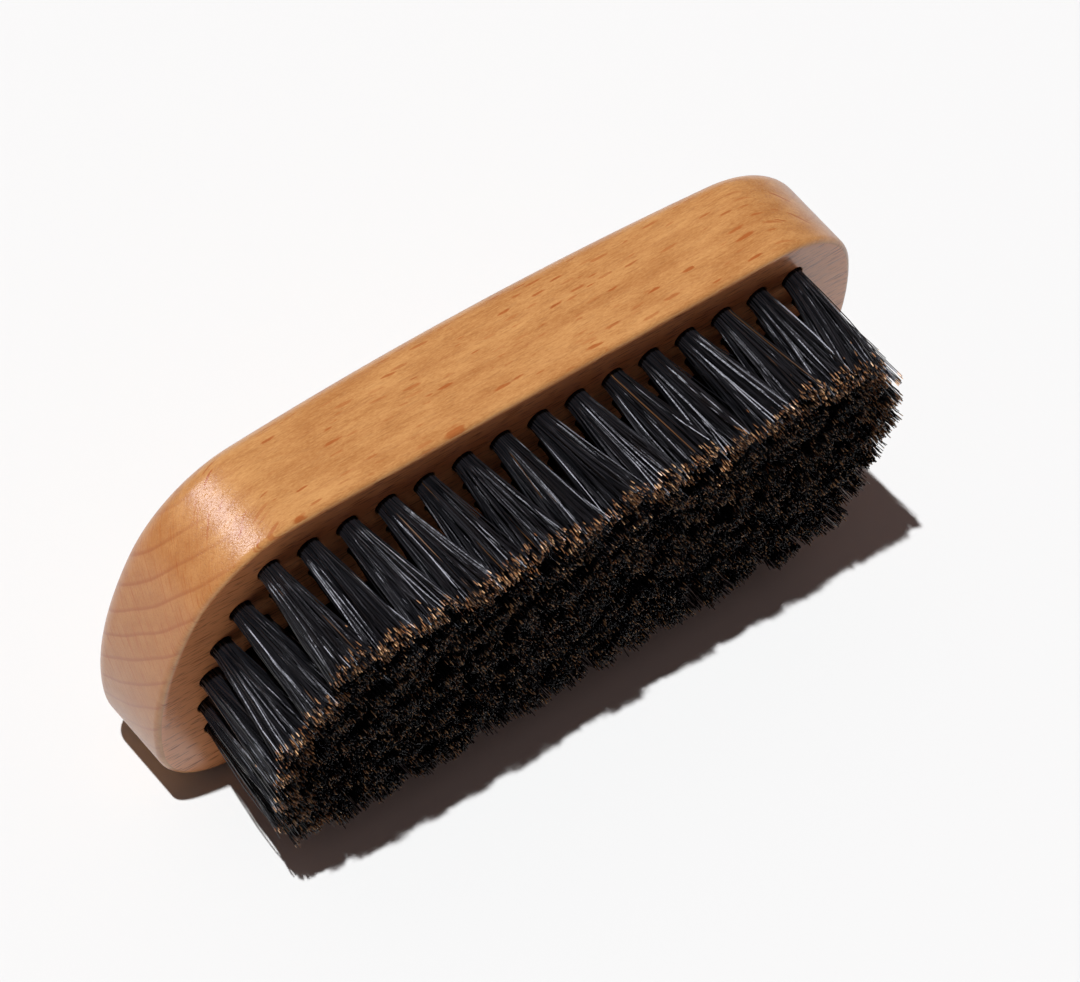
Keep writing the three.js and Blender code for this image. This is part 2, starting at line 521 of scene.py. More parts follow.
@dataclass(frozen=True)
class LacqueredBeech:
    """Steamed beech under a satin lacquer.

    The wood is solid: its rings are cylinders round a pith line that runs along the brush,
    outside the block. A point's wood coordinates are its distance along the brush, its
    distance round the pith, and its distance out from the pith. Rings are steps of the last.
    Rays are thin sheets that stand on end: short along the brush, very thin round the pith,
    and long outwards. Cut along, they are the lens-shaped flecks on the sides; cut across,
    they are the fine lines on the end walls.

    A grain is a number of waves per millimetre on each wood coordinate, and a size is in
    millimetres. A rise or a fall is the span of a value over which a layer comes or goes. A
    reach or a strength with two numbers is the least and what may come on top of it.
    """

    pith_y: float = 66.0
    pith_z: float = 78.0
    sway: float = 1.2
    ring_width: float = 3.2
    ray_size: Triple = (4.6, 0.50, 11.0)
    sway_grain: Triple = (0.018, 0.05, 0.05)
    mottle_grain: Triple = (0.09, 0.42, 0.42)
    fibre_grain: Triple = (0.42, 2.8, 2.8)
    grit_grain: Triple = (1.8, 6.5, 6.5)
    wander_grain: Triple = (0.02, 0.07, 0.05)
    ragged_grain: Triple = (1.1, 6.0, 0.6)
    fine_ray_grain: Triple = (0.5, 4.2, 0.22)
    pore_grain: Triple = (0.4, 4.2, 4.2)
    peel_grain: Triple = (2.4, 6.0, 6.0)
    end_rise: Pair = (0.35, 0.95)
    face_fall: Pair = (-0.995, -0.95)
    mottle_share: float = 0.75
    fibre_share: float = 0.5
    grit_share: float = 0.45
    deep_rise: Pair = (0.50, 1.20)
    end_strength: float = 0.6
    face_strength: float = 0.85
    year_wander: float = 0.5
    late_rise: Pair = (0.2, 0.94)
    late_strength: float = 0.22
    line_rise: Pair = (0.78, 0.93)
    line_fall: Pair = (0.94, 1.0)
    ring_strength: Pair = (0.10, 0.50)
    ray_ragged: float = 0.14
    ray_reach: Pair = (0.14, 0.22)
    ray_rise: Pair = (-0.04, 0.11)
    ray_strength: Pair = (0.26, 0.66)
    ray_end_fade: float = 0.85
    fine_ray_rise: Pair = (0.52, 0.72)
    fine_ray_strength: float = 0.65
    pore_rise: Pair = (0.56, 0.68)
    pore_strength: Pair = (0.14, 0.46)
    pore_depth: float = 0.4
    pale: Color = opaque(0.545, 0.280, 0.102)
    deep: Color = opaque(0.350, 0.140, 0.040)
    ring_line: Color = opaque(0.300, 0.096, 0.030)
    fleck: Color = opaque(0.320, 0.082, 0.016)
    pore: Color = opaque(0.150, 0.046, 0.016)
    end_grain: Color = opaque(0.355, 0.142, 0.049)
    # Partly the cut face's own redder tone, partly painted light: brighter than the walls to
    # lift the shaded bristle face.
    bare_face_and_painted_light: Color = opaque(0.740, 0.290, 0.118)

    def cut(self, graph: Graph, place: Socket) -> CutWood:
        """Works out where the surface cuts the wood.

        Out from the pith is the length of the way from the pith line, whose height sways a
        little. Round the pith is the angle of that way times the pith's distance from the
        brush.

        Args:
            graph: The finish's node tree.
            place: The point, in millimetres.

        Returns:
            What the layers read.
        """
        drift = graph.noise(place, self.sway_grain)
        sway = graph.line(drift, 2 * self.sway, -self.sway)
        along, across, up = graph.split(place)
        side_y = graph.math("SUBTRACT", across, self.pith_y)
        side_z = graph.math("SUBTRACT", graph.math("ADD", up, sway), self.pith_z)
        out = graph.vector("LENGTH", graph.join(0.0, side_y, side_z))
        turn = graph.math("ARCTAN2", side_z, side_y)
        round_pith = graph.times(turn, float(np.hypot(self.pith_y, self.pith_z)))
        normal = graph.node("ShaderNodeNewGeometry").outputs["Normal"]
        normal_x, normal_y, _ = graph.split(normal)
        return CutWood(
            graph=graph,
            wood=graph.join(along, round_pith, out),
            out=out,
            on_end=graph.rise(graph.math("ABSOLUTE", normal_x), self.end_rise),
            on_face=graph.fall(normal_y, self.face_fall),
        )

    def ground(self, cut: CutWood) -> Socket:
        """The wood's own tone: broad drifts, fibres drawn out along the grain, and grit. On the
        bristle face it turns redder and brighter: partly the cut face's own tone, and partly
        painted light that lifts the shaded face above the walls.

        Args:
            cut: What the layer reads.

        Returns:
            The colour.
        """
        graph = cut.graph
        mottle = graph.noise(cut.wood, self.mottle_grain, detail=3.0)
        fibre = graph.noise(cut.wood, self.fibre_grain, detail=4.0, roughness=0.7)
        grit = graph.noise(cut.wood, self.grit_grain, detail=1.0)
        tone = graph.line(fibre, self.fibre_share, graph.times(mottle, self.mottle_share))
        tone = graph.line(grit, self.grit_share, tone)
        color = graph.mix(graph.rise(tone, self.deep_rise), self.pale, self.deep)
        to_end = graph.times(cut.on_end, self.end_strength)
        # Painted light: the bristle face is brighter than the walls to stand in for light on
        # the shaded face, as well as redder as the cut face's own tone.
        to_face = graph.times(cut.on_face, self.face_strength)
        return graph.mix(to_face, graph.mix(to_end, color, self.end_grain), self.bare_face_and_painted_light)

    def with_rings(self, cut: CutWood, color: Socket) -> Socket:
        """Growth rings: each year a slow darkening, then a fine line where the year ends.

        Args:
            cut: What the layer reads.
            color: The colour under the rings.

        Returns:
            The colour with them.
        """
        graph = cut.graph
        wander = graph.noise(cut.wood, self.wander_grain, detail=1.0)
        years = graph.line(wander, self.year_wander,
                           graph.math("DIVIDE", cut.out, self.ring_width))
        year = graph.math("FRACT", years)
        year_end = graph.times(graph.rise(year, self.line_rise),
                               graph.fall(year, self.line_fall))
        late = graph.line(graph.rise(year, self.late_rise), self.late_strength, year_end)
        strength = graph.within(cut.on_end, self.ring_strength)
        return graph.mix(graph.times(late, strength), color, self.ring_line)

    def with_rays(self, cut: CutWood, color: Socket) -> Socket:
        """Rays: ragged flecks, each with a reach and a strength of its own, and fine lines.

        A fleck is where the distance to a cell's middle, roughened by noise, is less than
        the cell's reach. Flecks fade on the end walls, where the fine lines show instead.

        Args:
            cut: What the layer reads.
            color: The colour under the rays.

        Returns:
            The colour with them.
        """
        graph = cut.graph
        size_x, size_round, size_out = self.ray_size
        spread = graph.scaled(cut.wood, (1 / size_x, 1 / size_round, 1 / size_out))
        cells = graph.node("ShaderNodeTexVoronoi", spread, feature="F1",
                           voronoi_dimensions="3D")
        cells.inputs["Scale"].default_value = 1.0
        ragged = graph.line(graph.noise(cut.wood, self.ragged_grain),
                            2 * self.ray_ragged, -self.ray_ragged)
        nearness = graph.math("ADD", cells.outputs["Distance"], ragged)
        chance, depth, _ = graph.split(cells.outputs["Color"])
        edge = graph.math("SUBTRACT", graph.within(chance, self.ray_reach), nearness)
        ray = graph.times(graph.rise(edge, self.ray_rise),
                          graph.within(depth, self.ray_strength))
        ray = graph.times(ray, graph.line(cut.on_end, -self.ray_end_fade, 1.0))
        color = graph.mix(ray, color, self.fleck)

        fine = graph.noise(cut.wood, self.fine_ray_grain)
        fine_ray = graph.times(graph.rise(fine, self.fine_ray_rise), cut.on_end)
        return graph.mix(graph.times(fine_ray, self.fine_ray_strength), color, self.fleck)

    def material(self) -> bpy.types.Material:
        """Builds the finish on Object coordinates.

        Over the ground, rings and rays lie the pores: fine dark dashes along the grain, which
        are darkest where the bristle face cuts them open. The lacquer keeps a slight orange
        peel over them.

        Returns:
            The material.
        """
        graph = Graph(Slot.BEECH.value)
        place = graph.object_mm()
        cut = self.cut(graph, place)
        color = self.with_rays(cut, self.with_rings(cut, self.ground(cut)))
        pore = graph.rise(graph.noise(cut.wood, self.pore_grain, detail=1.0), self.pore_rise)
        open_pore = graph.within(cut.on_face, self.pore_strength)
        color = graph.mix(graph.times(pore, open_pore), color, self.pore)
        peel = graph.noise(place, self.peel_grain, roughness=0.55)
        relief = graph.math("SUBTRACT", peel, graph.times(pore, self.pore_depth))
        graph.bump(relief, distance=0.00004, strength=0.6)
        graph.dress(Base_Color=color, Roughness=0.5, IOR=1.45, Specular_IOR_Level=0.2,
                    Coat_Weight=0.70, Coat_Roughness=0.24, Coat_IOR=1.55)
        return graph.material


@dataclass(frozen=True)
class BoarBristle:
    """Black boar bristle whose trimmed tips are golden.

    Every bristle has one column of the piece's map. Along the column the map runs from the
    root, 0, to the tip, 1, and everything else about the bristle's colour follows from the
    column alone, so bristles that share a column look alike. Each kind of tuft has a third of
    the columns; most tips are golden round the rim, and few are in the lower rows. That split
    is painted light: a painted highlight where the key light catches the rim's tips, and
    painted shade over the tips of the lower rows. One last column is brown all along. The
    gold's length in millimetres is the least and what may come on top of it, and it is
    shorter past the rim, also as painted shade.
    """

    whole_length: float
    shares: int = 21
    wave_apart: float = 7.3
    waves_per_mm: float = 0.9
    # Painted light: the share of dark tips rises from the lit rim to the shaded lower rows.
    painted_shade_dark_shares: Triple = (0.36, 0.50, 0.76)
    gold_length: Pair = (0.18, 0.80)
    # Painted shade: the gold is shorter on tips past the lit rim.
    painted_shade_shorter_past_rim: float = 0.40
    gold_rise: Pair = (0.0, 0.15)
    gold_fall: Pair = (0.55, 1.25)
    copper_power: float = 1.7
    length_salt: float = 90.5
    gold_salt: float = 190.5
    shine_salt: float = 290.5
    black: Color = opaque(0.0085, 0.0085, 0.0105)
    dark_brown: Color = opaque(0.100, 0.048, 0.020)
    gold: Color = opaque(0.640, 0.390, 0.200)
    copper: Color = opaque(0.190, 0.072, 0.026)

    @property
    def columns(self) -> int:
        """How many columns the map has: a share for each kind of tuft, and the brown one."""
        return self.shares * len(Kind) + 1

    def column_random(self, graph: Graph, column: Socket, salt: float) -> Socket:
        """A number from 0 to 1 that belongs to a column.

        Args:
            graph: The finish's node tree.
            column: The column's number.
            salt: What keeps one use of such numbers apart from another.

        Returns:
            The number.
        """
        made = graph.node("ShaderNodeTexWhiteNoise", noise_dimensions="1D")
        graph.link(graph.math("ADD", column, salt), made.inputs["W"])
        return made.outputs["Value"]

    def tip_share(self, graph: Graph, column: Socket, from_tip: Socket,
                  past_rim: Socket, past_inner: Socket) -> Socket:
        """How golden a bristle is at a point.

        A column has gold where its own number is above the dark share of its kind of tuft. The
        shares differ by kind as painted light: lowest on the rim, where the key light catches
        the tips, and highest in the lower rows, which lie in shade. The gold fades out over a
        length of the column's own, which is shorter past the rim, as painted shade.

        Args:
            graph: The finish's node tree.
            column: The bristle's column.
            from_tip: The distance to the tip, in millimetres.
            past_rim: Whether the tuft isn't on the rim, 1 or 0.
            past_inner: Whether it is in the lower rows, 1 or 0.

        Returns:
            The share of gold, from 0 to 1.
        """
        # Painted shade: the dark share grows from the lit rim to the lower rows.
        rim, inner, low = self.painted_shade_dark_shares
        dark_share = graph.line(past_rim, inner - rim, rim)
        dark_share = graph.line(past_inner, low - inner, dark_share)
        length = graph.within(self.column_random(graph, column, self.length_salt),
                              self.gold_length)
        # Painted shade: shorter gold past the lit rim.
        length = graph.times(length, graph.line(past_rim, -self.painted_shade_shorter_past_rim, 1.0))
        over = graph.math("SUBTRACT", self.column_random(graph, column, self.gold_salt),
                          dark_share)
        share = graph.math("DIVIDE", from_tip, length)
        return graph.times(graph.fall(share, self.gold_fall), graph.rise(over, self.gold_rise))

    def material(self) -> bpy.types.Material:
        """Builds the finish on the bristles' own map.

        Scales and waves along each bristle are bumps that break its shine into dashes.

        Returns:
            The material.
        """
        graph = Graph(Slot.BRISTLE.value)
        place = graph.node("ShaderNodeUVMap", uv_map=BAKE_MAP).outputs["UV"]
        across, along, _ = graph.split(place)
        column = graph.math("FLOOR", graph.times(across, self.columns))
        from_tip = graph.times(graph.math("SUBTRACT", 1.0, along), self.whole_length)
        past_rim, past_inner, brown = (
            graph.math("GREATER_THAN", column, self.shares * kinds - 0.5)
            for kinds in range(1, len(Kind) + 1))
        body = graph.mix(brown, self.black, self.dark_brown)
        shine = graph.math("POWER", self.column_random(graph, column, self.shine_salt),
                           self.copper_power)
        metal = graph.mix(shine, self.copper, self.gold)
        tip = self.tip_share(graph, column, from_tip, past_rim, past_inner)
        waves = graph.noise(graph.join(column, from_tip, 0.0),
                            (self.wave_apart, self.waves_per_mm, 1.0))
        graph.bump(waves, distance=0.00006, strength=1.0)
        graph.dress(Base_Color=graph.mix(tip, body, metal), Roughness=0.24, IOR=1.5)
        return graph.material


@dataclass(frozen=True)
class AnchorWire:
    """Flat steel wire, drawn and cut, with drawing lines along it."""

    line_grain: Triple = (0.4, 9.0, 9.0)
    dull_rise: Pair = (0.35, 0.7)
    steel: Color = opaque(0.52, 0.50, 0.47)
    dull: Color = opaque(0.30, 0.28, 0.26)

    def material(self) -> bpy.types.Material:
        """Builds the finish on Object coordinates.

        Returns:
            The material.
        """
        graph = Graph(Slot.WIRE.value)
        lines = graph.noise(graph.object_mm(), self.line_grain, detail=3.0)
        color = graph.mix(graph.rise(lines, self.dull_rise), self.steel, self.dull)
        graph.bump(lines, distance=0.00001, strength=0.4)
        graph.dress(Base_Color=color, Metallic=1.0, Roughness=0.38)
        return graph.material


# ---------------------------------------------------------------- the block


@dataclass
class BeechBlock:
    """The drilled block: a smooth skin, a flat bristle face, and the blind holes in it."""

    brush: BrushFrame
    tufts: TuftField
    end_radius: float = 45.0
    corner_radius: float = 15.8
    middle_thickness: float = 15.6
    end_thickness: float = 13.2
    crown: float = 1.2
    back_fillet: float = 2.75
    face_fillet: float = 0.9
    land: float = 0.35
    rim: float = 0.12
    end_steps: int = 20
    corner_steps: int = 36
    side_steps: int = 56
    face_fillet_rings: int = 9
    side_rings: tuple[float, ...] = (0.35, 0.7)
    back_fillet_rings: int = 13
    back_rings: int = 16
    hole_sides: int = 20
    sharp_degrees: float = 35.0

    def thickness(self, x: np.ndarray) -> np.ndarray:
        """The bristle face to the back edge: a parabola, highest halfway along."""
        fall = self.middle_thickness - self.end_thickness
        return self.middle_thickness - fall * (x / (self.brush.length / 2)) ** 2

    def plan(self, inset: float) -> np.ndarray:
        """The block's outline moved in by inset.

        A quarter is an end arc about a centre on the long axis, then a corner arc tangent to
        it and to the straight side, then half the side. The rest mirrors it.

        Args:
            inset: How far the outline moves in, in millimetres.

        Returns:
            The outline's rows of x and z, anticlockwise from the middle of the +x end.
        """
        end_x = self.brush.length / 2 - self.end_radius
        corner_z = self.brush.width / 2 - self.corner_radius
        apart = self.end_radius - self.corner_radius
        corner_x = end_x + np.sqrt(apart**2 - corner_z**2)
        turn = np.arctan2(corner_z, corner_x - end_x)
        on_end = np.linspace(0, turn, self.end_steps, endpoint=False)
        on_corner = np.linspace(turn, np.pi / 2, self.corner_steps, endpoint=False)
        side_x = np.linspace(corner_x, 0, self.side_steps + 1)
        end_arc = self.end_radius - inset
        corner_arc = self.corner_radius - inset
        quarter = np.concatenate([
            np.stack([end_x + end_arc * np.cos(on_end), end_arc * np.sin(on_end)], 1),
            np.stack([corner_x + corner_arc * np.cos(on_corner),
                      corner_z + corner_arc * np.sin(on_corner)], 1),
            np.stack([side_x, np.full_like(side_x, self.brush.width / 2 - inset)], 1),
        ])
        upper = np.concatenate([quarter, quarter[-2::-1] * (-1, 1)])
        return np.concatenate([upper, upper[-2:0:-1] * (1, -1)])

    def skin_rings(self) -> np.ndarray:
        """The skin's rings from the face's rim to near the middle of the back.

        The face fillet and the back fillet are quarter circles in inset and height. Over the
        back, the last fillet ring shrinks towards the middle by a share, and its height gains
        the crown times one less the share squared.

        Returns:
            An array of rings of x, y, z rows, in brush millimetres.
        """
        rings = [self.ring(self.face_fillet + self.land, lambda x: np.zeros_like(x))]
        for angle in np.linspace(0, np.pi / 2, self.face_fillet_rings):
            height = self.face_fillet * (1 - np.cos(angle))
            inset = self.face_fillet * (1 - np.sin(angle))
            rings.append(self.ring(inset, lambda x, y=height: np.full_like(x, y)))
        for share in self.side_rings:
            rings.append(self.ring(0.0, lambda x, s=share: (
                self.face_fillet + s * (self.thickness(x) - self.back_fillet
                                        - self.face_fillet))))
        for angle in np.linspace(0, np.pi / 2, self.back_fillet_rings):
            below = self.back_fillet * (1 - np.sin(angle))
            inset = self.back_fillet * (1 - np.cos(angle))
            rings.append(self.ring(inset, lambda x, b=below: self.thickness(x) - b))
        back = self.plan(self.back_fillet)
        for share in np.linspace(1, 0, self.back_rings)[1:-1]:
            x, z = (back * share).T
            rise = self.crown * (1 - share**2)
            rings.append(np.stack([x, self.thickness(x) + rise, z], 1))
        return np.array(rings)

    def ring(self, inset: float, height: Callable[[np.ndarray], np.ndarray]) -> np.ndarray:
        """One ring of the outline, at a height that a function gives from x."""
        x, z = self.plan(inset).T
        return np.stack([x, height(x), z], 1)

    def hole_rings(self, places: list[TuftPlace]) -> np.ndarray:
        """Every hole's rings: its rim on the face, the foot of its small chamfer, its bottom.

        Args:
            places: The tufts' places.

        Returns:
            An array of holes, rings and rows of x, y, z.
        """
        angle = round_angles(self.hole_sides)
        circle = np.stack([np.cos(angle), np.zeros_like(angle), np.sin(angle)], 1)
        radius = self.tufts.hole_radius
        radii = np.array([radius + self.rim, radius, radius])
        depths = np.array([0.0, self.rim, self.tufts.hole_depth])
        rings = circle[None] * radii[:, None, None]
        rings[:, :, 1] = depths[:, None]
        return hole_centres(places)[:, None, None, :] + rings[None]

    def face_triangles(self, rim: np.ndarray, circles: np.ndarray) -> np.ndarray:
        """Fills the flat face between its rim and the holes' circles.

        Args:
            rim: The rim's rows of x and z.
            circles: The holes' circles, as an array of holes and rows of x and z.

        Returns:
            Triangles that number the rim's points first, then the circles' in order.
        """
        flat = np.concatenate([rim, circles.reshape(-1, 2)])
        loops = [np.arange(len(rim))]
        holes, sides = circles.shape[:2]
        loops += list(len(rim) + np.arange(holes * sides).reshape(holes, sides))
        edges = np.concatenate([np.stack([loop, np.roll(loop, -1)], 1) for loop in loops])
        inside_only, tolerance = 1, 1e-7
        result = delaunay_2d_cdt([Vector(p) for p in flat.tolist()], edges.tolist(), [],
                                 inside_only, tolerance)
        found, _, triangles, origins = result[:4]
        number = np.array([origin[0] for origin in origins])
        triangles = number[np.array(triangles)]
        corners = flat[triangles]
        middle = corners.mean(1)
        centre = circles.mean(1)
        inner = np.linalg.norm(circles[0] - centre[0], axis=1).min()
        apart = np.linalg.norm(middle[:, None] - centre[None], axis=2).min(1)
        triangles, corners = triangles[apart > inner], corners[apart > inner]
        one, two = corners[:, 1] - corners[:, 0], corners[:, 2] - corners[:, 0]
        backward = one[:, 0] * two[:, 1] < one[:, 1] * two[:, 0]
        triangles[backward] = triangles[backward][:, ::-1]
        assert len(found) == len(flat)
        return triangles

    def mesh(self, places: list[TuftPlace]) -> bpy.types.Mesh:
        """The whole block as one closed mesh.

        Args:
            places: The tufts' places.

        Returns:
            The mesh, in the row frame.
        """
        rings = self.skin_rings()
        ring_count, size = rings.shape[:2]
        holes = self.hole_rings(places)
        hole_count, levels, sides = holes.shape[:3]
        back_middle = np.array([[0.0, self.middle_thickness + self.crown, 0.0]])
        ends = np.array([(p.x, self.tufts.hole_depth + self.tufts.drill_point, p.z)
                         for p in places])
        points = np.concatenate([rings.reshape(-1, 3), back_middle, holes.reshape(-1, 3), ends])

        apex = ring_count * size
        first_hole = apex + 1
        first_end = first_hole + hole_count * levels * sides
        skin = quads_between(ring_count, size)
        crown = fan(np.arange(apex - size, apex), apex, towards_back=True)
        hole_numbers = first_hole + np.arange(hole_count * levels * sides).reshape(
            hole_count, levels, sides)
        wall = quads_between(levels, sides, outward=False)
        walls = first_hole + copied(wall, hole_count, levels * sides)
        bottoms = np.concatenate([
            fan(ring, first_end + i, towards_back=False)
            for i, ring in enumerate(hole_numbers[:, -1])
        ])
        face = self.face_triangles(rings[0][:, (0, 2)], holes[:, 0][:, :, (0, 2)])
        on_rim = np.concatenate([np.arange(size), hole_numbers[:, 0].ravel()])
        mesh = new_mesh("beech_block", self.brush.place(points),
                        [skin, walls, crown, bottoms, on_rim[face]])
        mesh.set_sharp_from_angle(angle=np.radians(self.sharp_degrees))
        return mesh

    def build(self, places: list[TuftPlace], material: bpy.types.Material) -> bpy.types.Object:
        """Builds the block's piece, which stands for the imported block."""
        piece = new_piece("beech_block", self.mesh(places), material, ("block",))
        log.info("%s: %d faces", piece.name, len(piece.data.polygons))
        return piece


# ---------------------------------------------------------------- bristles


@dataclass
class BristleMaker:
    """Turns centre lines into three-sided bristles with a map for their finish."""

    columns: int
    root_radius: float = 0.092
    tip_radius: float = 0.07
    sides: int = 3
    column_margin: float = 0.1
    cap_sliver: float = 0.01

    def mesh(self, name: str, brush: BrushFrame, lines: np.ndarray, along: np.ndarray,
             columns: np.ndarray, spin: np.ndarray, girth: np.ndarray) -> bpy.types.Mesh:
        """Makes one mesh of many bristles.

        Each ring of a bristle lies square to the line from its second level to its tip. A
        point of a ring is the centre plus the radius times the cosine of its angle along one
        side direction and the sine along the other. The radius falls from the root's to the
        tip's with the square of the share along.

        Args:
            name: The mesh's name.
            brush: The brush's frame.
            lines: Centre points, as an array of bristles, levels and x, y, z.
            along: Each level's share of the length, from 0 at the root to 1 at the tip.
            columns: Each bristle's column of the map.
            spin: Each bristle's turn about its own line, in radians.
            girth: Each bristle's thickness as a share of the usual one.

        Returns:
            The mesh, in the row frame.
        """
        count, levels = lines.shape[:2]
        heading = lines[:, -1] - lines[:, 1]
        heading /= np.linalg.norm(heading, axis=1, keepdims=True)
        side = np.cross(heading, (0.0, 0.0, 1.0))
        side /= np.linalg.norm(side, axis=1, keepdims=True)
        other = np.cross(heading, side)
        angle = spin[:, None] + round_angles(self.sides)
        around = (np.cos(angle)[..., None] * side[:, None] +
                  np.sin(angle)[..., None] * other[:, None])
        radius = self.root_radius + (self.tip_radius - self.root_radius) * along**2
        radius = girth[:, None] * radius[None]
        points = lines[:, :, None] + radius[..., None, None] * around[:, None]

        step = levels * self.sides
        quads = quads_between(levels, self.sides)
        last = (levels - 1) * self.sides
        cap = last + np.arange(self.sides)[::-1][None]
        faces = [copied(quads, count, step), copied(cap, count, step)]
        mesh = new_mesh(name, brush.place(points.reshape(-1, 3)), faces, smooth=False)
        self.map_bristles(mesh, along, columns)
        return mesh

    def map_bristles(self, mesh: bpy.types.Mesh, along: np.ndarray,
                     columns: np.ndarray) -> None:
        """Gives every bristle its column of the map.

        A corner's place across is its column plus the margin, plus its side's share of the
        way round over what the two margins leave. Its place along is its level's share of
        the length, and the cap takes a sliver of the column's end.

        Args:
            mesh: The bristles' mesh.
            along: Each level's share of the length.
            columns: Each bristle's column.
        """
        levels = len(along)
        margin, room = self.column_margin, 1 - 2 * self.column_margin
        level = np.repeat(np.arange(levels - 1), self.sides)
        side = np.tile(np.arange(self.sides), levels - 1)
        quad_along = np.stack([along[level], along[level + 1], along[level + 1],
                               along[level]], 1)
        quad_side = np.stack([side, side, side + 1, side + 1], 1) / self.sides
        across = (columns[:, None, None] + margin + room * quad_side[None]) / self.columns
        quad_map = np.stack([across, np.broadcast_to(quad_along, across.shape)], -1)
        cap_side = np.linspace(1, 0, self.sides)
        cap_across = (columns[:, None] + margin + room * cap_side[None]) / self.columns
        cap_along = np.ones_like(cap_across)
        cap_along[:, 1] -= self.cap_sliver
        cap_map = np.stack([cap_across, cap_along], -1)
        values = np.concatenate([quad_map.ravel(), cap_map.ravel()]).astype(np.float32)
        layer = mesh.uv_layers.new(name=BAKE_MAP)
        layer.data.foreach_set("uv", values)


@dataclass(frozen=True)
class Spread:
    """How one tuft's bristles spread, as seen along the tuft, from its middle."""

    share: np.ndarray
    root: np.ndarray
    tip: np.ndarray
    clump: np.ndarray
    lean: np.ndarray


@dataclass
class Tufts:
    """The hundred and thirteen tufts, each a bundle that is tight in its hole and fans out.

    A bristle's root lies in a disc. Its tip lies in a wider disc, at the same share of the
    radius, moved by the drift of its clump and by its own. Between them its sideways travel
    grows with a power of the share along, so that the bundle leaves its hole straight, and a
    half sine of its own bows it a little. No bristle leaves a cone from the root disc to a
    stray's reach past the tip disc; then the whole tuft leans. The trimmed tips make a low
    dome, ragged by bristle, by clump and by tuft.
    """

    brush: BrushFrame
    maker: BristleMaker
    bristles: int = 225
    clumps: int = 9
    root_disc: float = 1.42
    tip_disc: float = 2.95
    buried: float = 6.0
    buried_share: float = 0.92
    travel_power: float = 1.12
    jitter: float = 0.035
    clump_drift: float = 0.5
    own_drift: float = 0.32
    wild_share: float = 0.035
    wild_drift: float = 0.9
    stray_reach: float = 0.8
    tuft_drift: Pair = (0.4, 0.2)
    bow: float = 0.26
    trim: float = 0.1
    ragged: float = 0.17
    clump_ragged: float = 0.26
    tuft_ragged: float = 0.22
    dome: float = 0.45
    broken_share: float = 0.12
    broken_loss: float = 0.9
    longest_over: float = 0.45
    brown_share: float = 0.006
    girths: Pair = (0.82, 1.12)
    levels: tuple[float, ...] = (0.06, 0.28, 0.54, 0.78, 1.0)

    def spread(self, place: TuftPlace, rng: np.random.Generator) -> Spread:
        """Works out where a tuft's bristles start and end.

        Bristle number i of n lies at the square root of (i + 0.5) / n of the radius, turned
        by i golden angles, which fills a disc evenly. It belongs to the nearest clump.

        Args:
            place: The tuft's place.
            rng: The seeded source of the bristles' differences.

        Returns:
            The spread, in millimetres.
        """
        count = self.bristles
        share = np.sqrt((np.arange(count) + 0.5) / count)
        angle = np.arange(count) * np.pi * (3 - np.sqrt(5)) + rng.uniform(0, 2 * np.pi)
        unit = np.stack([np.cos(angle), np.sin(angle)], 1) * share[:, None]
        unit += rng.normal(0, self.jitter, unit.shape)
        clump_centre = rng.uniform(-1, 1, (self.clumps, 2))
        clump = np.linalg.norm(unit[:, None] - clump_centre[None], axis=2).argmin(1)
        drift = rng.normal(0, self.clump_drift, (self.clumps, 2))[clump]
        drift += rng.normal(0, self.own_drift, (count, 2))
        wild = rng.random((count, 1)) < self.wild_share
        drift += rng.normal(0, self.wild_drift, (count, 2)) * wild
        return Spread(
            share=share,
            root=unit * self.root_disc,
            tip=unit * self.tip_disc + drift,
            clump=clump,
            lean=rng.normal(0, self.tuft_drift, 2) + (place.lean_x, place.lean_z),
        )

    def lengths(self, spread: Spread, rng: np.random.Generator) -> np.ndarray:
        """How far each bristle stands out of the block.

        The dome adds its height times 0.5 less the square of the share of the radius. A few
        bristles are broken short.

        Args:
            spread: The tuft's spread.
            rng: The seeded source of the bristles' differences.

        Returns:
            Each bristle's length, in millimetres.
        """
        count = self.bristles
        length = self.brush.bristle_length + rng.normal(-self.trim, self.ragged, count)
        length += rng.normal(0, self.clump_ragged, self.clumps)[spread.clump]
        length += rng.normal(0, self.tuft_ragged) + self.dome * (0.5 - spread.share**2)
        broken = rng.exponential(self.broken_loss, count)
        length -= broken * (rng.random(count) < self.broken_share)
        return np.minimum(length, self.brush.bristle_length + self.longest_over)

    def lines(self, place: TuftPlace, rng: np.random.Generator) -> np.ndarray:
        """One tuft's centre lines.

        Args:
            place: The tuft's place.
            rng: The seeded source of the bristles' differences.

        Returns:
            Centre points, as an array of bristles, levels and x, y, z.
        """
        spread = self.spread(place, rng)
        length = self.lengths(spread, rng)
        levels = np.array(self.levels)
        root = spread.root
        travel = levels**self.travel_power
        sideways = root[:, None] + (spread.tip - root)[:, None] * travel[None, :, None]
        bow = rng.normal(0, self.bow, (self.bristles, 1, 2))
        sideways += bow * np.sin(np.pi * levels)[None, :, None]
        reach = self.root_disc + (self.tip_disc + self.stray_reach - self.root_disc) * travel
        apart = np.linalg.norm(sideways, axis=2)
        sideways *= np.minimum(1.0, reach / apart)[..., None]
        sideways += spread.lean * travel[None, :, None]
        depth = -length[:, None] * levels[None]
        shown = np.stack([sideways[..., 0], depth, sideways[..., 1]], 2)
        in_hole = root * self.buried_share
        start = np.stack([in_hole[:, 0], np.full(self.bristles, self.buried), in_hole[:, 1]], 1)
        lines = np.concatenate([start[:, None], shown], 1)
        return lines + np.array((place.x, 0.0, place.z))

    def along(self) -> np.ndarray:
        """Each level's share of the bristle's whole length, the buried part included."""
        whole = self.buried + self.brush.bristle_length
        shown = (self.buried + self.brush.bristle_length * np.array(self.levels)) / whole
        return np.concatenate([[0.0], shown])

